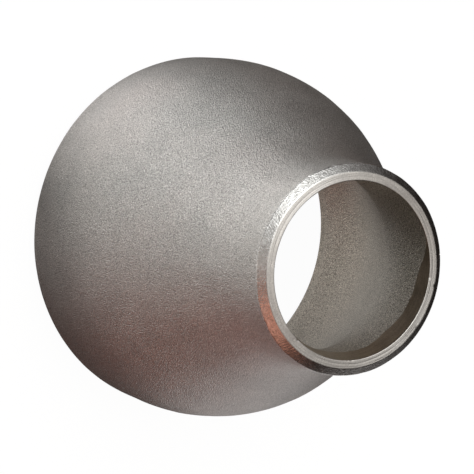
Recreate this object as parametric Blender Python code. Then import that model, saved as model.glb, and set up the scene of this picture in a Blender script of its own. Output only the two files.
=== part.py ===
"""Concentric butt-weld reducer, DN100 to DN50: one seamless steel fitting.

The fitting is a surface of revolution about Z. It stands on its large end, so Z = 0 is the large
weld face and Z = LENGTH is the small one. Sizes are in metres.
"""
import math

import bpy

# Overall sizes: standard pipe outside diameters and the standard end-to-end length.
LARGE_OUTER_RADIUS = 0.1143 / 2
SMALL_OUTER_RADIUS = 0.0603 / 2
LENGTH = 0.102

# Wall at the machined weld ends, and the weld preparation.
LARGE_END_WALL = 0.00856
SMALL_END_WALL = 0.00485
ROOT_FACE = 0.0024
BEVEL_ANGLE = math.radians(37.5)

# Outer form: a straight stretch at each end, joined by a shoulder, a cone and a fillet.
LARGE_TANGENT = 0.014
SMALL_TANGENT = 0.009
SHOULDER_RADIUS = 0.075
FILLET_RADIUS = 0.045

# Machined counterbore inside each end: a short cylinder, then a taper down to the formed wall.
LARGE_COUNTERBORE_DEPTH = 0.0030
LARGE_COUNTERBORE_STEP = 0.0007
SMALL_COUNTERBORE_DEPTH = 0.0010
SMALL_COUNTERBORE_STEP = 0.0009
COUNTERBORE_TAPER = math.radians(18.0)

# Smoothness of the turned solid.
TURN_STEPS = 64
SHOULDER_SEGMENTS = 9
FILLET_SEGMENTS = 7
SHARP_EDGE_ANGLE = math.radians(12.0)
MERGE_DISTANCE = 0.00001

LARGE_BORE_RADIUS = LARGE_OUTER_RADIUS - LARGE_END_WALL
SMALL_BORE_RADIUS = SMALL_OUTER_RADIUS - SMALL_END_WALL


def clear_scene():
    for scene_object in list(bpy.data.objects):
        bpy.data.objects.remove(scene_object, do_unlink=True)


def steel_material():
    """Sand-blasted, pickled stainless steel: mid grey, metallic and matte."""
    material = bpy.data.materials.new("blasted_stainless")
    material.use_nodes = True
    shader = material.node_tree.nodes["Principled BSDF"]
    shader.inputs["Base Color"].default_value = (0.42, 0.40, 0.39, 1.0)
    shader.inputs["Metallic"].default_value = 1.0
    shader.inputs["Roughness"].default_value = 0.48
    return material


def arc(center_r, center_z, radius, start_angle, end_angle, segments):
    """Points (r, z) along an arc, with angles measured from the +r direction."""
    points = []
    for step in range(segments + 1):
        angle = start_angle + (end_angle - start_angle) * step / segments
        points.append((center_r + radius * math.cos(angle), center_z + radius * math.sin(angle)))
    return points


def reducing_wall(large_radius, small_radius, shoulder_radius, fillet_radius):
    """Points (r, z) of one side of the wall, from the large tangent's end up to the small one's start.

    The cone is the straight line that touches both arcs. The arcs' centres are dist apart, and the
    line crosses between them, so its angle to the axis follows from the sum of the two radii.
    """
    shoulder_center = (large_radius - shoulder_radius, LARGE_TANGENT)
    fillet_center = (small_radius + fillet_radius, LENGTH - SMALL_TANGENT)
    delta_r = fillet_center[0] - shoulder_center[0]
    delta_z = fillet_center[1] - shoulder_center[1]
    dist = math.hypot(delta_r, delta_z)
    cone_angle = math.atan2(delta_z, delta_r) - math.acos((shoulder_radius + fillet_radius) / dist)
    shoulder = arc(*shoulder_center, shoulder_radius, 0.0, cone_angle, SHOULDER_SEGMENTS)
    fillet = arc(*fillet_center, fillet_radius, math.pi + cone_angle, math.pi, FILLET_SEGMENTS)
    return shoulder + fillet


def outer_profile():
    """Outside of the fitting, from the small weld face down to the large one."""
    large_land_radius = LARGE_BORE_RADIUS + ROOT_FACE
    small_land_radius = SMALL_BORE_RADIUS + ROOT_FACE
    large_bevel_height = (LARGE_OUTER_RADIUS - large_land_radius) * math.tan(BEVEL_ANGLE)
    small_bevel_height = (SMALL_OUTER_RADIUS - small_land_radius) * math.tan(BEVEL_ANGLE)
    wall = reducing_wall(LARGE_OUTER_RADIUS, SMALL_OUTER_RADIUS, SHOULDER_RADIUS, FILLET_RADIUS)
    points = [(small_land_radius, LENGTH), (SMALL_OUTER_RADIUS, LENGTH - small_bevel_height)]
    points += reversed(wall)
    points += [(LARGE_OUTER_RADIUS, large_bevel_height), (large_land_radius, 0.0)]
    return points


def inner_profile():
    """Inside of the fitting, from the large weld face up to the small one."""
    large_formed_radius = LARGE_BORE_RADIUS - LARGE_COUNTERBORE_STEP
    small_formed_radius = SMALL_BORE_RADIUS - SMALL_COUNTERBORE_STEP
    large_taper_end = LARGE_COUNTERBORE_DEPTH + LARGE_COUNTERBORE_STEP / math.tan(COUNTERBORE_TAPER)
    small_taper_end = SMALL_COUNTERBORE_DEPTH + SMALL_COUNTERBORE_STEP / math.tan(COUNTERBORE_TAPER)
    shoulder_radius = SHOULDER_RADIUS - (LARGE_OUTER_RADIUS - large_formed_radius)
    fillet_radius = FILLET_RADIUS + (SMALL_OUTER_RADIUS - small_formed_radius)
    points = [
        (LARGE_BORE_RADIUS, 0.0),
        (LARGE_BORE_RADIUS, LARGE_COUNTERBORE_DEPTH),
        (large_formed_radius, large_taper_end),
    ]
    points += reducing_wall(large_formed_radius, small_formed_radius, shoulder_radius, fillet_radius)
    points += [
        (small_formed_radius, LENGTH - small_taper_end),
        (SMALL_BORE_RADIUS, LENGTH - SMALL_COUNTERBORE_DEPTH),
        (SMALL_BORE_RADIUS, LENGTH),
    ]
    return points


def turned_object(name, profile, material):
    """Turn a closed profile, in the XZ plane at +X, once about Z."""
    vertices = [(radius, 0.0, height) for radius, height in profile]
    edges = [(index, (index + 1) % len(vertices)) for index in range(len(vertices))]
    mesh = bpy.data.meshes.new(name)
    mesh.from_pydata(vertices, edges, [])
    mesh.materials.append(material)
    turned = bpy.data.objects.new(name, mesh)
    bpy.context.scene.collection.objects.link(turned)
    screw = turned.modifiers.new("turn", "SCREW")
    screw.axis = "Z"
    screw.angle = math.tau
    screw.steps = TURN_STEPS
    screw.render_steps = TURN_STEPS
    screw.use_merge_vertices = True
    screw.merge_threshold = MERGE_DISTANCE
    screw.use_smooth_shade = True
    return turned


def shade_with_sharp_edges(turned):
    """Apply the turning, then keep the bevels, root faces and counterbore edges crisp."""
    depsgraph = bpy.context.evaluated_depsgraph_get()
    mesh = bpy.data.meshes.new_from_object(turned.evaluated_get(depsgraph))
    turned.modifiers.clear()
    turned.data = mesh
    mesh.shade_smooth()
    mesh.set_sharp_from_angle(angle=SHARP_EDGE_ANGLE)


def reducer_body():
    """The whole fitting: weld bevels, root faces, tangents, shoulder, cone, fillet and bore."""
    profile = outer_profile() + inner_profile()
    body = turned_object("reducer_body", profile, steel_material())
    shade_with_sharp_edges(body)


clear_scene()
reducer_body()
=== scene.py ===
"""Looks of the concentric reducer: one seamless steel fitting, blasted all over and machined at its ends.

The fitting is turned as one closed mesh, row by row along its section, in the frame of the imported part.
"""

import math

import bpy
import numpy as np
from mathutils import Matrix, Vector


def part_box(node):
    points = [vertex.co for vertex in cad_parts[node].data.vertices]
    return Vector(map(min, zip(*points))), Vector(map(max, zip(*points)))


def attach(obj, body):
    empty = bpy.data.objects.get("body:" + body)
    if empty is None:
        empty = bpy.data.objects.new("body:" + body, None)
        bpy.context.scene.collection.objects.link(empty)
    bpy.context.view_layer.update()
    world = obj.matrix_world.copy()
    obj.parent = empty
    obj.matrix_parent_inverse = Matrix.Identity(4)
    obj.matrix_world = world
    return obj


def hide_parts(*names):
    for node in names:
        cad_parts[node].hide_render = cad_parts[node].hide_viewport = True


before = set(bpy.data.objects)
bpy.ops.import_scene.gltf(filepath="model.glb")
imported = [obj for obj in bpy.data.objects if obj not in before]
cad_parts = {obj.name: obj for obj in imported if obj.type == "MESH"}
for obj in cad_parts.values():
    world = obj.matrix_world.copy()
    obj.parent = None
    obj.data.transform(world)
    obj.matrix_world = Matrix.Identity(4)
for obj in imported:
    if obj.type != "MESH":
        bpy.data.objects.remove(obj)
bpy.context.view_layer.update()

# Sizes in metres. The overall ones come from the frame, the others are the part's own.
NODE = "reducer_body"
BODY = "root"
node_low, node_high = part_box(NODE)
LENGTH = node_high.z - node_low.z
LARGE_OUTER_RADIUS = (node_high.x - node_low.x) / 2
SMALL_OUTER_RADIUS = 0.0603 / 2
LARGE_BORE_RADIUS = LARGE_OUTER_RADIUS - 0.00856
SMALL_BORE_RADIUS = SMALL_OUTER_RADIUS - 0.00485
ROOT_FACE = 0.0024
BEVEL_SLOPE = math.tan(math.radians(37.5))
LARGE_TANGENT = 0.014
SMALL_TANGENT = 0.009
SHOULDER_RADIUS = 0.075
FILLET_RADIUS = 0.045
EDGE_BREAK = 0.00012

# The counterbores: a short cylinder, then a taper that runs out into the formed wall.
TAPER_SLOPE = math.tan(math.radians(18.0))
LARGE_COUNTERBORE_DEPTH = 0.0030
LARGE_COUNTERBORE_STEP = 0.0007
SMALL_COUNTERBORE_DEPTH = 0.0010
SMALL_COUNTERBORE_STEP = 0.00075
LEAST_STEP = 0.00003
LEAST_DEPTH_SHARE = 0.15
FINE_BORE_DEPTH = 0.0075

# The small formed bore is out of true with the turned one. It stands in furthest at this azimuth, and the
# counterbore is cut from so many radians behind that to so many ahead of it, fading out at both ends.
FORMED_BORE_OFFSET = 0.0006
FORMED_BORE_AZIMUTH = math.radians(20.0)
FORMED_BORE_WOBBLE = 0.00010
FORMED_BORE_LEDGE = 0.00016
LEDGE_AZIMUTH = math.radians(45.0)
LEDGE_RUN = 0.04
OFFSET_FADE_HEIGHT = 0.030
COUNTERBORE_BEHIND = 1.25
COUNTERBORE_AHEAD = 1.85
COUNTERBORE_FADE = 0.5

# Depths of what the tools and the forming left behind.
FACE_SETBACK = 0.00003
WAVE_DEPTH = 0.00010
DIMPLE_DEPTH = 0.00003
INSIDE_WAVE_DEPTH = 0.00012
INSIDE_WAVE_FADE = 0.012
CHATTER_DEPTH = 0.000010
CHATTER_COUNT = 230
CHATTER_SLANT = 2600.0
CHATTER_WANDER = 2.5
SECOND_CHATTER_COUNT = 372
SECOND_CHATTER_SLANT = -0.7
SECOND_CHATTER_WANDER = 3
SECOND_CHATTER_SHARE = 0.6
RING_DEPTH = 0.000005
LAND_FALL = 0.00009
LAND_GROOVE_DEPTH = 0.00003
BURR_HEIGHT = 0.00003

# Places and widths across the land, as shares of the root face.
LAND_GROOVE_PLACE = 0.45
LAND_GROOVE_WIDTH = 0.06
BURR_WIDTH = 0.05

# Edges sharper than this are shaded as edges.
SHARP_ANGLE = math.radians(40.0)

# Columns around the axis: fine at the small end's machined faces, coarser elsewhere.
FINE_COLUMNS = 960
SKIN_COLUMNS = 480
INSIDE_COLUMNS = 240

# Slow waves and dimples: knots of noise around the axis, and their pitch along it.
WAVE_KNOTS, WAVE_PITCH = 34, 0.011
DIMPLE_KNOTS, DIMPLE_PITCH = 110, 0.0035
INSIDE_WAVE_KNOTS, INSIDE_WAVE_PITCH = 22, 0.012

SKIN, BEVEL, LAND, BORE, INSIDE, LARGE_BORE = range(6)


# ---------------------------------------------------------------- noise around the axis

def eased(t):
    return t * t * (3 - 2 * t)


def ripple(azimuth, knots, seed):
    """Smooth noise from -1 to 1 that closes on itself after one turn."""
    values = np.random.default_rng(seed).uniform(-1, 1, knots)
    place = np.asarray(azimuth) / math.tau * knots
    index = np.floor(place).astype(int)
    t = eased(place - index)
    return values[index % knots] * (1 - t) + values[(index + 1) % knots] * t


def lumps(azimuth, along, knots, pitch, seed):
    """Smooth noise from -1 to 1 over azimuth and the distance along the section."""
    place = along / pitch
    index = math.floor(place)
    t = eased(place - index)
    near = ripple(azimuth, knots, seed + index)
    far = ripple(azimuth, knots, seed + index + 1)
    return near * (1 - t) + far * t


def angle_between(azimuth, middle):
    """Signed angle from middle to azimuth, from -pi to pi."""
    return (azimuth - middle + math.pi) % math.tau - math.pi


# ---------------------------------------------------------------- section of the fitting
#
# The last argument of line and arc, and the last two of weld_end, are how many rows a stretch has.

def line(start, end, steps):
    """Points (r, z) from start up to, but not including, end."""
    return [
        (start[0] + (end[0] - start[0]) * k / steps, start[1] + (end[1] - start[1]) * k / steps)
        for k in range(steps)
    ]


def arc(center, radius, start_angle, end_angle, steps):
    """Points (r, z) along an arc, the last one left out."""
    turn = (end_angle - start_angle) / steps
    return [
        (center[0] + radius * math.cos(start_angle + turn * k),
         center[1] + radius * math.sin(start_angle + turn * k))
        for k in range(steps)
    ]


def wall_arcs(large_radius, small_radius, shoulder_radius, fillet_radius):
    """Centres of the shoulder and fillet arcs, and the angle of the cone that touches both."""
    shoulder = (large_radius - shoulder_radius, LARGE_TANGENT)
    fillet = (small_radius + fillet_radius, LENGTH - SMALL_TANGENT)
    delta_r, delta_z = fillet[0] - shoulder[0], fillet[1] - shoulder[1]
    dist = math.hypot(delta_r, delta_z)
    cone = math.atan2(delta_z, delta_r) - math.acos((shoulder_radius + fillet_radius) / dist)
    return shoulder, fillet, cone


def weld_end(face_z, up, land_inner, land_outer, outer_radius, land_steps, bevel_steps):
    """One end's land and bevel, from the bore outwards, with a small break on each edge."""
    bevel_height = (outer_radius - land_outer) * BEVEL_SLOPE
    shoulder_z = face_z - up * bevel_height
    b = EDGE_BREAK
    bevel_top = (land_outer + b * 0.8, face_z - up * b * 0.6)
    bevel_low = (outer_radius - b * 0.8, shoulder_z + up * b * 0.6)
    land = [(land_inner, face_z - up * b), (land_inner + b * 0.3, face_z - up * b * 0.3)]
    land += line((land_inner + b, face_z), (land_outer - b, face_z), land_steps)
    land += [(land_outer - b, face_z)]
    bevel = line(bevel_top, bevel_low, bevel_steps) + [bevel_low]
    return land, bevel, shoulder_z - up * b


def cone_ends(shoulder, fillet, cone, shoulder_radius, fillet_radius):
    """Where the straight cone meets the fillet, and where it meets the shoulder."""
    across, up = math.cos(cone), math.sin(cone)
    top = (fillet[0] - fillet_radius * across, fillet[1] - fillet_radius * up)
    foot = (shoulder[0] + shoulder_radius * across, shoulder[1] + shoulder_radius * up)
    return top, foot


def rows_of(points, zone, columns):
    """The points (r, z) of one zone as rows (r, z, zone, columns)."""
    return [(r, z, zone, columns) for r, z in points]


def outside_rows():
    """From the small bore's edge over the small face, down the skin and in over the large face."""
    small_land, small_bevel, skin_top = weld_end(
        LENGTH, 1, SMALL_BORE_RADIUS, SMALL_BORE_RADIUS + ROOT_FACE, SMALL_OUTER_RADIUS, 14, 12)
    large_land, large_bevel, skin_foot = weld_end(
        0.0, -1, LARGE_BORE_RADIUS, LARGE_BORE_RADIUS + ROOT_FACE, LARGE_OUTER_RADIUS, 8, 8)
    shoulder, fillet, cone = wall_arcs(
        LARGE_OUTER_RADIUS, SMALL_OUTER_RADIUS, SHOULDER_RADIUS, FILLET_RADIUS)
    cone_top, cone_foot = cone_ends(shoulder, fillet, cone, SHOULDER_RADIUS, FILLET_RADIUS)
    skin = [(SMALL_OUTER_RADIUS, skin_top - EDGE_BREAK * 3)]
    skin += line((SMALL_OUTER_RADIUS, skin_top - 0.001), (SMALL_OUTER_RADIUS, fillet[1]), 6)
    skin += arc(fillet, FILLET_RADIUS, math.pi, math.pi + cone, 20)
    skin += line(cone_top, cone_foot, 18)
    skin += arc(shoulder, SHOULDER_RADIUS, cone, 0.0, 32)
    skin += line((LARGE_OUTER_RADIUS, LARGE_TANGENT), (LARGE_OUTER_RADIUS, skin_foot), 8)
    skin += [(LARGE_OUTER_RADIUS, skin_foot)]
    return [
        *rows_of(small_land, LAND, FINE_COLUMNS),
        *rows_of(small_bevel, BEVEL, FINE_COLUMNS),
        *rows_of([(SMALL_OUTER_RADIUS, skin_top)], SKIN, FINE_COLUMNS),
        *rows_of(skin, SKIN, SKIN_COLUMNS),
        *rows_of(large_bevel[::-1], BEVEL, SKIN_COLUMNS),
        *rows_of(large_land[::-1], LAND, SKIN_COLUMNS),
    ]


def inside_rows():
    """From the large counterbore up the formed wall to the small counterbore."""
    formed_large = LARGE_BORE_RADIUS - LARGE_COUNTERBORE_STEP
    formed_small = SMALL_BORE_RADIUS - SMALL_COUNTERBORE_STEP
    inner_shoulder = SHOULDER_RADIUS - (LARGE_OUTER_RADIUS - formed_large)
    inner_fillet = FILLET_RADIUS + (SMALL_OUTER_RADIUS - formed_small)
    shoulder, fillet, cone = wall_arcs(formed_large, formed_small, inner_shoulder, inner_fillet)
    cone_top, cone_foot = cone_ends(shoulder, fillet, cone, inner_shoulder, inner_fillet)
    large_taper_end = LARGE_COUNTERBORE_DEPTH + LARGE_COUNTERBORE_STEP / TAPER_SLOPE
    small_taper_end = LENGTH - SMALL_COUNTERBORE_DEPTH - SMALL_COUNTERBORE_STEP / TAPER_SLOPE
    wall = line((formed_large, large_taper_end), (formed_large, LARGE_TANGENT), 5)
    wall += arc(shoulder, inner_shoulder, 0.0, cone, 16)
    wall += line(cone_foot, cone_top, 10)
    wall += arc(fillet, inner_fillet, math.pi + cone, math.pi, 14)
    wall += [(formed_small, fillet[1])]
    throat = line((formed_small, LENGTH - FINE_BORE_DEPTH), (formed_small, small_taper_end), 3)
    taper = [(formed_small, small_taper_end - 0.0001), (formed_small, small_taper_end)]
    return [
        *rows_of([(LARGE_BORE_RADIUS, LARGE_COUNTERBORE_DEPTH)], LARGE_BORE, SKIN_COLUMNS),
        *rows_of(wall, INSIDE, INSIDE_COLUMNS),
        *rows_of(throat, INSIDE, SKIN_COLUMNS),
        *rows_of(taper, INSIDE, FINE_COLUMNS),
        *rows_of([(SMALL_BORE_RADIUS, LENGTH - SMALL_COUNTERBORE_DEPTH)], BORE, FINE_COLUMNS),
    ]


# ---------------------------------------------------------------- departures from the true section

def skin_dip(azimuth, z):
    """How far the skin lies inside its true radius: slow waves from forming, and shallow dimples."""
    waves = 1 + lumps(azimuth, z, WAVE_KNOTS, WAVE_PITCH, 100)
    dimples = 1 + lumps(azimuth, z, DIMPLE_KNOTS, DIMPLE_PITCH, 300)
    return WAVE_DEPTH * waves + DIMPLE_DEPTH * dimples


# Nicks on the small end: azimuth in degrees, radius, half width and depth.
NICKS = [
    (330.5, SMALL_BORE_RADIUS, 0.00035, 0.00012),
    (328.0, SMALL_BORE_RADIUS + 0.0008, 0.00022, 0.00005),
    (92.0, SMALL_BORE_RADIUS + ROOT_FACE, 0.00030, 0.00016),
    (96.5, SMALL_BORE_RADIUS, 0.00045, 0.00010),
    (64.5, SMALL_BORE_RADIUS + ROOT_FACE, 0.00040, 0.00010),
    (14.0, SMALL_BORE_RADIUS, 0.00040, 0.00005),
    (222.0, SMALL_OUTER_RADIUS, 0.00040, 0.00010),
    (206.0, SMALL_OUTER_RADIUS, 0.00030, 0.00008),
    (110.0, SMALL_OUTER_RADIUS, 0.00045, 0.00018),
    (58.0, SMALL_OUTER_RADIUS, 0.00040, 0.00012),
]


def nick_depth(azimuth, radius):
    """How deep the nicks are along one row of the small face."""
    depth = np.zeros_like(azimuth)
    for degrees, place, width, deep in NICKS:
        across = angle_between(azimuth, math.radians(degrees)) * radius / width
        depth += deep * np.exp(-across ** 2 - ((radius - place) / width) ** 2)
    return depth


def land_relief(r, azimuth, inner, seed):
    """Height of a turned land: it falls outwards, with lathe rings, a groove and a torn burr."""
    share = (r - inner) / ROOT_FACE
    ring = RING_DEPTH * (ripple(azimuth, 9, seed + round(share * 1000)) - 1)
    groove = -LAND_GROOVE_DEPTH * math.exp(-((share - LAND_GROOVE_PLACE) / LAND_GROOVE_WIDTH) ** 2)
    torn = np.clip(ripple(azimuth, 140, seed + 7) + 0.4 * ripple(azimuth, 37, seed + 8), 0, 1)
    burr = BURR_HEIGHT * torn * math.exp(-((share - 1) / BURR_WIDTH) ** 2)
    return ring + groove + burr - LAND_FALL * share - FACE_SETBACK - BURR_HEIGHT


def bevel_relief(azimuth, share, seed):
    """Depth of the cutter marks on a bevel: two slanting sets that cross, of uneven strength."""
    slant = CHATTER_SLANT * share * ROOT_FACE
    wander = CHATTER_WANDER * ripple(azimuth, 31, seed)
    second_wander = SECOND_CHATTER_WANDER * ripple(azimuth, 19, seed + 2)
    first = np.sin(azimuth * CHATTER_COUNT + slant + wander)
    second = np.sin(azimuth * SECOND_CHATTER_COUNT + SECOND_CHATTER_SLANT * slant + second_wander)
    vigour = 0.55 + 0.45 * ripple(azimuth, 13, seed + 1)
    deepest = 1 + SECOND_CHATTER_SHARE
    return CHATTER_DEPTH * vigour * (first + SECOND_CHATTER_SHARE * second - deepest)


def counterbore_share(azimuth):
    """1 where the turning tool cut the bore, 0 where the formed wall was already clear of it."""
    turned = angle_between(azimuth, FORMED_BORE_AZIMUTH)
    start = eased(np.clip((turned + COUNTERBORE_BEHIND) / COUNTERBORE_FADE, 0, 1))
    end = eased(np.clip((COUNTERBORE_AHEAD - turned) / COUNTERBORE_FADE, 0, 1))
    return start * end


def small_formed_wall(azimuth):
    """How far the formed bore stands in from the counterbore, all round the small end."""
    offset = FORMED_BORE_OFFSET * np.cos(azimuth - FORMED_BORE_AZIMUTH)
    wobble = FORMED_BORE_WOBBLE * (ripple(azimuth, 26, 41) + 0.5 * ripple(azimuth, 90, 42))
    past_ledge = eased(np.clip(angle_between(azimuth, LEDGE_AZIMUTH) / LEDGE_RUN, 0, 1))
    step = SMALL_COUNTERBORE_STEP + offset + wobble + FORMED_BORE_LEDGE * past_ledge
    return LEAST_STEP + np.maximum(step, 0) * counterbore_share(azimuth)


def small_cylinder_depth(azimuth):
    """Depth of the counterbore's straight part."""
    share = LEAST_DEPTH_SHARE + (1 - LEAST_DEPTH_SHARE) * counterbore_share(azimuth)
    return SMALL_COUNTERBORE_DEPTH * share


def displaced_inside(r, z, azimuth):
    """Radius and height of a row inside: slow waves, and a taper that runs out at varying depths."""
    wave = INSIDE_WAVE_DEPTH * lumps(azimuth, z, INSIDE_WAVE_KNOTS, INSIDE_WAVE_PITCH, 500)
    nearness = np.clip((z - LENGTH + OFFSET_FADE_HEIGHT) / OFFSET_FADE_HEIGHT, 0, 1)
    from_small_end = eased(np.clip((LENGTH - z) / INSIDE_WAVE_FADE, 0, 1))
    from_large_end = eased(np.clip(z / INSIDE_WAVE_FADE, 0, 1))
    step = small_formed_wall(azimuth)
    radius = r + wave * (from_small_end * from_large_end)
    radius = radius - (step - SMALL_COUNTERBORE_STEP) * eased(nearness)
    depth = LENGTH - z
    true_end = SMALL_COUNTERBORE_DEPTH + SMALL_COUNTERBORE_STEP / TAPER_SLOPE
    if depth > SMALL_TANGENT:
        return radius, np.full_like(azimuth, z)
    end = small_cylinder_depth(azimuth) + step / TAPER_SLOPE
    share = (depth - true_end) / (SMALL_TANGENT - true_end)
    return radius, LENGTH - (end + share * (SMALL_TANGENT - end))


def displaced(r, z, zone, azimuth):
    """Radius and height of every point of one row."""
    radius = np.full_like(azimuth, r)
    height = np.full_like(azimuth, z)
    up = 1 if z > LENGTH / 2 else -1
    outer = SMALL_OUTER_RADIUS if up > 0 else LARGE_OUTER_RADIUS
    inner = SMALL_BORE_RADIUS if up > 0 else LARGE_BORE_RADIUS
    bevel_share = (r - inner - ROOT_FACE) / (outer - inner - ROOT_FACE)
    seed = 700 if up > 0 else 800
    if zone == INSIDE:
        return displaced_inside(r, z, azimuth)
    if zone == BORE and up > 0:
        height = LENGTH - small_cylinder_depth(azimuth)
    if zone == SKIN:
        radius -= skin_dip(azimuth, z)
        if bevel_share == 1 and abs(z - edge_height(up)) < 2 * EDGE_BREAK:
            height += up * skin_dip(azimuth, z) * BEVEL_SLOPE
    if zone == BEVEL:
        dip = skin_dip(azimuth, edge_height(up)) * bevel_share
        radius -= dip
        height += up * (dip * BEVEL_SLOPE - LAND_FALL * (1 - bevel_share) - FACE_SETBACK - BURR_HEIGHT)
        strength = 0.2 + 0.8 * min(bevel_share * 6, 1)
        height += up * bevel_relief(azimuth, bevel_share, seed) * strength
    if zone == LAND:
        height += up * land_relief(r, azimuth, inner, seed)
    if zone in (LAND, BEVEL) and up > 0:
        height -= nick_depth(azimuth, r)
    return radius, height


def edge_height(up):
    """Height of the edge between an end's bevel and the skin."""
    if up > 0:
        return LENGTH - (SMALL_OUTER_RADIUS - SMALL_BORE_RADIUS - ROOT_FACE) * BEVEL_SLOPE
    return (LARGE_OUTER_RADIUS - LARGE_BORE_RADIUS - ROOT_FACE) * BEVEL_SLOPE


def make_mesh():
    """Points, faces and each face's zone: rows (r, z, zone, columns) turned round the axis and joined."""
    rows = outside_rows() + inside_rows()
    points, faces, zones, starts = [], [], [], []
    total = 0
    for r, z, zone, columns in rows:
        azimuth = np.arange(columns) * math.tau / columns
        radius, height = displaced(r, z, zone, azimuth)
        x, y = radius * np.cos(azimuth), radius * np.sin(azimuth)
        points.append(np.stack([x, y, height], axis=1))
        starts.append(total)
        total += columns
    for number, (_, _, zone, columns) in enumerate(rows):
        other = (number + 1) % len(rows)
        new_faces = band(starts[number], columns, starts[other], rows[other][3])
        faces.extend(new_faces)
        zones.extend([band_zone(zone, rows[other][2])] * len(new_faces))
    return np.concatenate(points), faces, zones


def band_zone(first, second):
    """The finish of the faces between two rows, which may lie in different zones."""
    for bore in (BORE, LARGE_BORE):
        if bore in (first, second):
            return bore
    if second in (LAND, BEVEL) and first not in (LAND, BEVEL):
        return second
    return first


def band(start_a, columns_a, start_b, columns_b):
    """Faces between two rings, whose column counts are equal or differ by a whole factor."""
    coarse = min(columns_a, columns_b)
    step_a, step_b = columns_a // coarse, columns_b // coarse
    made = []
    for k in range(coarse):
        ring_a = [start_a + (k * step_a + j) % columns_a for j in range(step_a + 1)]
        ring_b = [start_b + (k * step_b + j) % columns_b for j in range(step_b + 1)]
        made.append(tuple(ring_a[::-1] + ring_b))
    return made


# ---------------------------------------------------------------- materials

# How fine each pattern is, in cells to the metre.
GRAIN_SCALE = 3000.0
PIT_SCALE = 1300.0
MOTTLE_SCALE = 95.0
PATCH_SCALE = 26.0
HAIRLINE_SCALE = 34.0
SCRATCH_WAVE_SCALE = 900.0
LATHE_SCALE = 2600.0
SPECKLE_SCALE = 2100.0
DULL_SCALE = 230.0

HAIRLINE_WIDTH = 0.00005
SCRATCH_TONE = 0.72
SCRATCH_DEPTH = 0.00002
PIT_SHARE = 0.3


def add_node(tree, kind, inputs=None, **settings):
    """A shader node with its settings, and its inputs set to values or linked to sockets."""
    node = tree.nodes.new(kind)
    for key, value in settings.items():
        setattr(node, key, value)
    for key, value in (inputs or {}).items():
        if isinstance(value, bpy.types.NodeSocket):
            tree.links.new(value, node.inputs[key])
        else:
            node.inputs[key].default_value = value
    return node


def math_node(tree, operation, *values, clamp=False):
    inputs = dict(enumerate(values))
    return add_node(tree, "ShaderNodeMath", inputs, operation=operation, use_clamp=clamp).outputs[0]


def vector_node(tree, operation, *values):
    inputs = dict(enumerate(values))
    return add_node(tree, "ShaderNodeVectorMath", inputs, operation=operation)


def mapped(tree, value, low, high, from_low=0.0, from_high=1.0):
    """A value moved from one range to another."""
    inputs = {"Value": value, "From Min": from_low, "From Max": from_high, "To Min": low, "To Max": high}
    return add_node(tree, "ShaderNodeMapRange", inputs).outputs["Result"]


def noise(tree, vector, scale, detail=2.0, roughness=0.5):
    inputs = {"Vector": vector, "Scale": scale, "Detail": detail, "Roughness": roughness}
    return add_node(tree, "ShaderNodeTexNoise", inputs).outputs["Fac"]


def mixed(tree, factor, first, second):
    """Between two colours, each a tuple or a socket."""
    node = add_node(tree, "ShaderNodeMix", {"Factor": factor}, data_type="RGBA")
    colour_inputs = [socket for socket in node.inputs if socket.type == "RGBA"]
    for socket, value in zip(colour_inputs, (first, second)):
        if isinstance(value, bpy.types.NodeSocket):
            tree.links.new(value, socket)
        else:
            socket.default_value = (*value, 1.0)
    return [socket for socket in node.outputs if socket.type == "RGBA"][0]


def scaled(tree, colour, factor):
    """A colour or a direction times a factor."""
    inputs = {0: colour, "Scale": factor}
    return add_node(tree, "ShaderNodeVectorMath", inputs, operation="SCALE").outputs[0]


def bumped(tree, height, distance, normal=None):
    """Relief of the given depth in metres, on top of an earlier one."""
    inputs = {"Height": height, "Strength": 1.0, "Distance": distance}
    if normal is not None:
        inputs["Normal"] = normal
    return add_node(tree, "ShaderNodeBump", inputs).outputs["Normal"]


def metal(name):
    material = bpy.data.materials.new(name)
    material.use_nodes = True
    tree = material.node_tree
    shader = tree.nodes["Principled BSDF"]
    shader.inputs["Metallic"].default_value = 1.0
    place = add_node(tree, "ShaderNodeTexCoord").outputs["Object"]
    return material, tree, shader, place


def finish_metal(tree, shader, colour, gloss, normal):
    tree.links.new(colour, shader.inputs["Base Color"])
    tree.links.new(gloss, shader.inputs["Roughness"])
    tree.links.new(normal, shader.inputs["Normal"])


def hairlines(tree, place, cells, width):
    """Thin straight lines, from 0 to 1, kept only here and there."""
    edge = add_node(tree, "ShaderNodeTexVoronoi", {"Vector": place, "Scale": cells},
                    feature="DISTANCE_TO_EDGE").outputs["Distance"]
    line_mask = mapped(tree, edge, 1.0, 0.0, 0.0, width * cells)
    kept = mapped(tree, noise(tree, place, cells * 1.7, 1.0), 0.0, 1.0, 0.58, 0.66)
    return math_node(tree, "MULTIPLY", line_mask, kept)


def scratch(tree, place, start, end, width):
    """A single scratch, from 0 to 1, between two points (azimuth in degrees, radius, height)."""
    ends = []
    for degrees, radius, height in (start, end):
        turn = math.radians(degrees)
        ends.append(Vector((radius * math.cos(turn), radius * math.sin(turn), height)))
    along = ends[1] - ends[0]
    from_start = vector_node(tree, "SUBTRACT", place, ends[0]).outputs[0]
    run = vector_node(tree, "DOT_PRODUCT", from_start, along / along.length_squared).outputs["Value"]
    run = math_node(tree, "ADD", run, 0.0, clamp=True)
    nearest = scaled(tree, tuple(along), run)
    away = vector_node(tree, "DISTANCE", from_start, nearest).outputs["Value"]
    wavy = math_node(tree, "MULTIPLY_ADD", noise(tree, place, SCRATCH_WAVE_SCALE), 0.8 * width, away)
    return mapped(tree, wavy, 1.0, 0.0, 0.4 * width, 1.4 * width)


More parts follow.
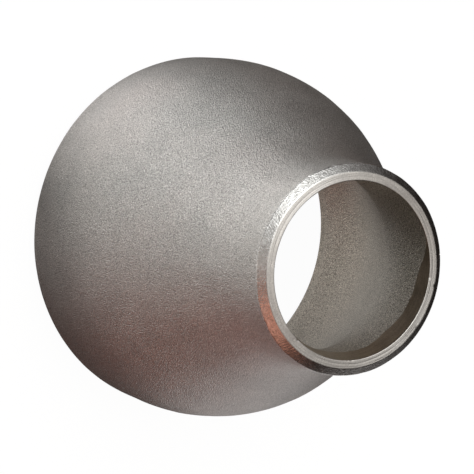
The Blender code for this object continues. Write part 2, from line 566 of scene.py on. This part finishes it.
# Scratches and small dents the photograph shows on the skin.
SKIN_SCRATCHES = [
    ((3.0, 0.0406, 0.0630), (20.0, 0.0361, 0.0705), 0.00022),
    ((172.5, 0.0393, 0.0650), (164.0, 0.0350, 0.0727), 0.00022),
    ((168.0, 0.0400, 0.0640), (161.0, 0.0372, 0.0690), 0.00016),
    ((332.9, 0.0318, 0.0810), (333.2, 0.0318, 0.0815), 0.00040),
    ((214.5, 0.0567, 0.0221), (213.6, 0.0566, 0.0230), 0.00050),
]


def blasted_steel(name, light_tone, dark_tone, warm_tone, gloss, grain_tone, grain_depth, scratches=()):
    """Sand-blasted steel: fine pitted grain, soft mottling, warm and cool patches, a few scratches."""
    material, tree, shader, place = metal(name)
    grain = noise(tree, place, GRAIN_SCALE, 1.0, 0.5)
    pits = noise(tree, place, PIT_SCALE, 1.0, 0.5)
    mottle = noise(tree, place, MOTTLE_SCALE, 4.0, 0.62)
    patches = noise(tree, place, PATCH_SCALE, 2.0, 0.5)
    colour = mixed(tree, mapped(tree, mottle, 0.0, 1.0, 0.3, 0.7), dark_tone, light_tone)
    colour = mixed(tree, mapped(tree, patches, 0.0, 0.6, 0.42, 0.66), colour, warm_tone)
    colour = scaled(tree, colour, mapped(tree, grain, 1 - grain_tone, 1 + grain_tone, 0.28, 0.72))
    lines = hairlines(tree, place, HAIRLINE_SCALE, HAIRLINE_WIDTH)
    for start, end, width in scratches:
        lines = math_node(tree, "MAXIMUM", lines, scratch(tree, place, start, end, width))
    colour = scaled(tree, colour, mapped(tree, lines, 1.0, SCRATCH_TONE))
    roughness = mapped(tree, mottle, gloss - 0.02, gloss + 0.03, 0.3, 0.7)
    normal = bumped(tree, grain, grain_depth)
    normal = bumped(tree, pits, grain_depth * PIT_SHARE, normal)
    normal = bumped(tree, math_node(tree, "MULTIPLY", lines, -1.0), SCRATCH_DEPTH, normal)
    finish_metal(tree, shader, colour, roughness, normal)
    return material


def turned_coords(tree, place, wander):
    """Coordinates that change across lathe lines, and only slowly round the axis."""
    flat = vector_node(tree, "MULTIPLY", place, (1.0, 1.0, 0.0)).outputs[0]
    radius = vector_node(tree, "LENGTH", flat).outputs["Value"]
    around = scaled(tree, vector_node(tree, "NORMALIZE", flat).outputs[0], wander)
    split = add_node(tree, "ShaderNodeSeparateXYZ", {0: around})
    height = add_node(tree, "ShaderNodeSeparateXYZ", {0: place}).outputs["Z"]
    across = math_node(tree, "ADD", radius, height)
    parts = {"X": across, "Y": split.outputs["X"], "Z": split.outputs["Y"]}
    return add_node(tree, "ShaderNodeCombineXYZ", parts).outputs[0]


def machined_steel(name, light_tone, dark_tone, gloss, wander, line_depth, speckle_depth, spread=0.0):
    """Machined steel: lathe lines round the axis, torn speckle between them, and duller patches.

    The lines may also spread the light across them, away from the axis, by a share from 0 to 1.
    """
    material, tree, shader, place = metal(name)
    turned = turned_coords(tree, place, wander)
    lines = noise(tree, turned, LATHE_SCALE, 3.0, 0.6)
    speckle = noise(tree, place, SPECKLE_SCALE, 2.0, 0.6)
    patches = noise(tree, place, DULL_SCALE, 3.0, 0.6)
    colour = mixed(tree, mapped(tree, lines, 0.0, 1.0, 0.35, 0.65), dark_tone, light_tone)
    colour = scaled(tree, colour, mapped(tree, speckle, 0.85, 1.15, 0.3, 0.7))
    roughness = mapped(tree, patches, gloss - 0.05, gloss + 0.07, 0.3, 0.7)
    normal = bumped(tree, lines, line_depth)
    normal = bumped(tree, speckle, speckle_depth, normal)
    finish_metal(tree, shader, colour, roughness, normal)
    shader.inputs["Anisotropic"].default_value = spread
    flat = vector_node(tree, "MULTIPLY", place, (1.0, 1.0, 0.0)).outputs[0]
    outward = vector_node(tree, "NORMALIZE", flat).outputs[0]
    tree.links.new(outward, shader.inputs["Tangent"])
    return material


def all_finishes():
    """Materials in the order of the zones. Tones are colours, depths are in metres."""
    return [
        blasted_steel("blasted_skin", (0.53, 0.51, 0.49), (0.45, 0.435, 0.42), (0.51, 0.47, 0.45),
                      gloss=0.40, grain_tone=0.45, grain_depth=0.00030, scratches=SKIN_SCRATCHES),
        machined_steel("milled_bevel", (0.66, 0.64, 0.62), (0.50, 0.48, 0.46),
                       gloss=0.24, wander=0.008, line_depth=0.00003, speckle_depth=0.00009),
        machined_steel("turned_land", (0.53, 0.515, 0.495), (0.44, 0.425, 0.41),
                       gloss=0.29, wander=0.0010, line_depth=0.00006, speckle_depth=0.00001, spread=0.7),
        machined_steel("turned_bore", (0.46, 0.39, 0.31), (0.36, 0.30, 0.235),
                       gloss=0.38, wander=0.0015, line_depth=0.00001, speckle_depth=0.00002),
        blasted_steel("blasted_inside", (0.50, 0.475, 0.425), (0.42, 0.395, 0.345), (0.46, 0.42, 0.37),
                      gloss=0.46, grain_tone=0.70, grain_depth=0.00026),
        blasted_steel("blasted_large_bore",
                      (0.47, 0.445, 0.395), (0.39, 0.365, 0.315), (0.43, 0.39, 0.34),
                      gloss=0.46, grain_tone=0.70, grain_depth=0.00026),
    ]


# ---------------------------------------------------------------- camera, light and floor

VIEW_ELEVATION = math.radians(61.57)
VIEW_ROLL = math.radians(103.22)
VIEW_DISTANCE = 0.5125
AIM_RIGHT = 0.0326
AIM_DOWN = 0.0094
LENS_MM = 139.75


def camera_axes():
    """Right, up and back directions of the camera, in the part's frame."""
    back = Vector((0.0, -math.cos(VIEW_ELEVATION), math.sin(VIEW_ELEVATION)))
    level_right = Vector((1.0, 0.0, 0.0))
    level_up = back.cross(level_right)
    right = math.cos(VIEW_ROLL) * level_right + math.sin(VIEW_ROLL) * level_up
    up = math.cos(VIEW_ROLL) * level_up - math.sin(VIEW_ROLL) * level_right
    return right, up, back


def add_camera():
    """The small face's centre lies a little right of, and below, the middle of the picture."""
    right, up, back = camera_axes()
    camera = bpy.data.objects.new("camera", bpy.data.cameras.new("camera"))
    bpy.context.scene.collection.objects.link(camera)
    face_center = Vector((0.0, 0.0, LENGTH))
    place = face_center + back * VIEW_DISTANCE - right * AIM_RIGHT + up * AIM_DOWN
    camera.matrix_world = Matrix.Translation(place) @ Matrix((right, up, back)).transposed().to_4x4()
    camera.data.lens = LENS_MM
    camera.data.sensor_width = 36.0
    bpy.context.scene.camera = camera


COOL_WHITE = (0.97, 1.0, 1.0)
WHITE = (1.0, 0.98, 0.98)
WARM_WHITE = (1.0, 0.96, 0.91)
TAN = (1.0, 0.80, 0.70)
ORANGE = (1.0, 0.46, 0.33)
RED_ORANGE = (1.0, 0.38, 0.29)


def tinted(tint, strength):
    return tuple(part * strength for part in tint)


BACKDROP = (1.0, 1.0, 1.0, 1.0)
AMBIENT = tinted(TAN, 0.014)
# Soft lights: direction as (right, up, back) of the camera, how tight, and colour with strength.
LIGHTS = [
    ("key_above", (0.35, 0.42, 0.83), 14.0, tinted(COOL_WHITE, 4.65)),
    ("upper_right", (0.58, 0.81, 0.12), 25.0, tinted(WHITE, 0.27)),
    ("right_side", (0.70, -0.05, 0.70), 16.0, tinted(WARM_WHITE, 1.9)),
    ("warm_side", (-0.04, -0.68, 0.73), 20.0, tinted(ORANGE, 1.2)),
    ("behind_camera", (-0.60, 0.0, 0.80), 20.0, tinted(WARM_WHITE, 1.3)),
    ("upper_left_low", (-0.58, 0.70, -0.35), 25.0, tinted(WARM_WHITE, 0.6)),
    ("upper_left_under", (-0.45, 0.50, -0.74), 60.0, tinted(WHITE, 1.4)),
    ("upper_right_low", (0.30, 0.70, -0.65), 20.0, tinted(TAN, 0.2)),
    ("left_low", (-0.90, 0.10, -0.40), 25.0, tinted(WARM_WHITE, 1.95)),
    ("lower_left_low", (-0.64, -0.71, -0.30), 22.0, tinted(RED_ORANGE, 0.95)),
    ("under_left", (-0.46, 0.11, -0.88), 40.0, tinted(WHITE, 0.75)),
    ("under_lower", (0.10, -0.75, -0.65), 20.0, tinted(WHITE, 1.5)),
]

# Soft pools of light on the floor, round the fitting: azimuth in degrees, distance, spread and colour.
POOLS = [
    ("pool_left_up", 225.0, 0.36, 0.10, tinted(COOL_WHITE, 6.7)),
    ("pool_left", 285.0, 0.36, 0.10, tinted(COOL_WHITE, 2.85)),
    ("pool_near", 228.0, 0.10, 0.02, tinted(WHITE, 1.2)),
]

# The floor close to the fitting lies in its shade, which leans away from the lights. The steel sees the
# rest of the floor as clear, and this share of it in the middle of the shade.
SHADE_MIDDLE = (0.048, -0.040, 0.0)
SHADE_INNER = 0.050
SHADE_OUTER = 0.080
SHADE_OPEN_SHARE = 0.32


def sum_of(tree, colours):
    total = colours[0]
    for colour in colours[1:]:
        total = vector_node(tree, "ADD", total, colour).outputs[0]
    return total


def light_lobe(tree, direction, name, place, sharpness, colour):
    """A round soft light far away: its colour, fading smoothly away from its direction."""
    right, up, back = camera_axes()
    aim = (place[0] * right + place[1] * up + place[2] * back).normalized()
    facing = vector_node(tree, "DOT_PRODUCT", direction, aim).outputs["Value"]
    fade = math_node(tree, "EXPONENT", math_node(tree, "MULTIPLY_ADD", facing, sharpness, -sharpness))
    inputs = {0: colour, "Scale": fade}
    return add_node(tree, "ShaderNodeVectorMath", inputs, operation="SCALE", name=name).outputs[0]


def add_world():
    """The studio: soft lights for the steel, and a plain white backdrop for the camera."""
    world = bpy.data.worlds.new("studio")
    bpy.context.scene.world = world
    world.use_nodes = True
    tree = world.node_tree
    tree.nodes.clear()
    direction = add_node(tree, "ShaderNodeTexCoord").outputs["Generated"]
    base = add_node(tree, "ShaderNodeVectorMath", {0: AMBIENT}, operation="ADD", name="ambient")
    lobes = [light_lobe(tree, direction, *light) for light in LIGHTS]
    lit = add_node(tree, "ShaderNodeBackground", {"Color": sum_of(tree, [base.outputs[0], *lobes])})
    seen = add_node(tree, "ShaderNodeBackground", {"Color": BACKDROP})
    is_camera = add_node(tree, "ShaderNodeLightPath").outputs["Is Camera Ray"]
    mix = add_node(tree, "ShaderNodeMixShader", {0: is_camera, 1: lit.outputs[0], 2: seen.outputs[0]})
    add_node(tree, "ShaderNodeOutputWorld", {"Surface": mix.outputs[0]})


FLOOR_RADIUS = 6.0
FLOOR_CORNERS = 96
FLOOR_DROP = 0.0002
FLOOR_GLOW = 0.97
FLOOR_TONE = 0.04


def floor_pools(tree, place):
    """The pools' light, added up at each place on the floor."""
    pools = []
    for name, degrees, far, spread, colour in POOLS:
        turn = math.radians(degrees)
        middle = (far * math.cos(turn), far * math.sin(turn), 0.0)
        away = vector_node(tree, "DISTANCE", place, middle).outputs["Value"]
        power = math_node(tree, "MULTIPLY", math_node(tree, "POWER", away, 2.0), -0.5 / spread ** 2)
        inputs = {0: colour, "Scale": math_node(tree, "EXPONENT", power)}
        pool = add_node(tree, "ShaderNodeVectorMath", inputs, operation="SCALE", name=name)
        pools.append(pool.outputs[0])
    return sum_of(tree, pools)


def open_share(tree, place):
    """How far the floor is open at each place: least in the fitting's shade, and 1 outside it."""
    away = vector_node(tree, "DISTANCE", place, SHADE_MIDDLE).outputs["Value"]
    inputs = {"Value": away, "From Min": SHADE_INNER, "From Max": SHADE_OUTER, "To Min": SHADE_OPEN_SHARE}
    eased_share = add_node(tree, "ShaderNodeMapRange", inputs, interpolation_type="SMOOTHSTEP")
    return eased_share.outputs["Result"]


def floor_material():
    """Plain white to the camera. The steel sees only its pools of light and its shade."""
    material = bpy.data.materials.new("floor")
    material.use_nodes = True
    tree = material.node_tree
    tree.nodes.clear()
    place = add_node(tree, "ShaderNodeTexCoord").outputs["Object"]
    glow = add_node(tree, "ShaderNodeEmission", {"Color": floor_pools(tree, place)}).outputs[0]
    clear = add_node(tree, "ShaderNodeBsdfTransparent").outputs[0]
    lit = add_node(tree, "ShaderNodeAddShader", {0: clear, 1: glow}).outputs[0]
    shade = add_node(tree, "ShaderNodeBsdfDiffuse", {"Color": (0.0, 0.0, 0.0, 1.0)}).outputs[0]
    inputs = {0: open_share(tree, place), 1: shade, 2: lit}
    to_steel = add_node(tree, "ShaderNodeMixShader", inputs).outputs[0]
    white = add_node(tree, "ShaderNodeEmission", {"Color": BACKDROP, "Strength": FLOOR_GLOW}).outputs[0]
    tone = (FLOOR_TONE, FLOOR_TONE, FLOOR_TONE, 1.0)
    paper = add_node(tree, "ShaderNodeBsdfDiffuse", {"Color": tone}).outputs[0]
    seen = add_node(tree, "ShaderNodeAddShader", {0: white, 1: paper}).outputs[0]
    is_camera = add_node(tree, "ShaderNodeLightPath").outputs["Is Camera Ray"]
    mix = add_node(tree, "ShaderNodeMixShader", {0: is_camera, 1: to_steel, 2: seen})
    add_node(tree, "ShaderNodeOutputMaterial", {"Surface": mix.outputs[0]})
    return material


def add_floor():
    """A wide round floor, a hair below the large end's face."""
    turns = [k * math.tau / FLOOR_CORNERS for k in range(FLOOR_CORNERS)]
    ring = [(FLOOR_RADIUS * math.cos(turn), FLOOR_RADIUS * math.sin(turn), 0.0) for turn in turns]
    mesh = bpy.data.meshes.new("floor")
    mesh.from_pydata(ring, [], [tuple(range(FLOOR_CORNERS))])
    mesh.materials.append(floor_material())
    floor = bpy.data.objects.new("floor", mesh)
    bpy.context.scene.collection.objects.link(floor)
    floor.location.z = node_low.z - FLOOR_DROP
    floor.visible_shadow = False


def add_reducer():
    """The whole fitting, one piece in place of the CAD node."""
    points, faces, zones = make_mesh()
    mesh = bpy.data.meshes.new("reducer")
    mesh.from_pydata(points.tolist(), [], faces)
    mesh.polygons.foreach_set("material_index", zones)
    mesh.update()
    mesh.shade_smooth()
    mesh.set_sharp_from_angle(angle=SHARP_ANGLE)
    for finish in all_finishes():
        mesh.materials.append(finish)
    piece = bpy.data.objects.new("reducer", mesh)
    bpy.context.scene.collection.objects.link(piece)
    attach(piece, BODY)
    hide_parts(NODE)


bpy.context.scene.view_settings.view_transform = "Standard"
add_camera()
add_world()
add_floor()
add_reducer()
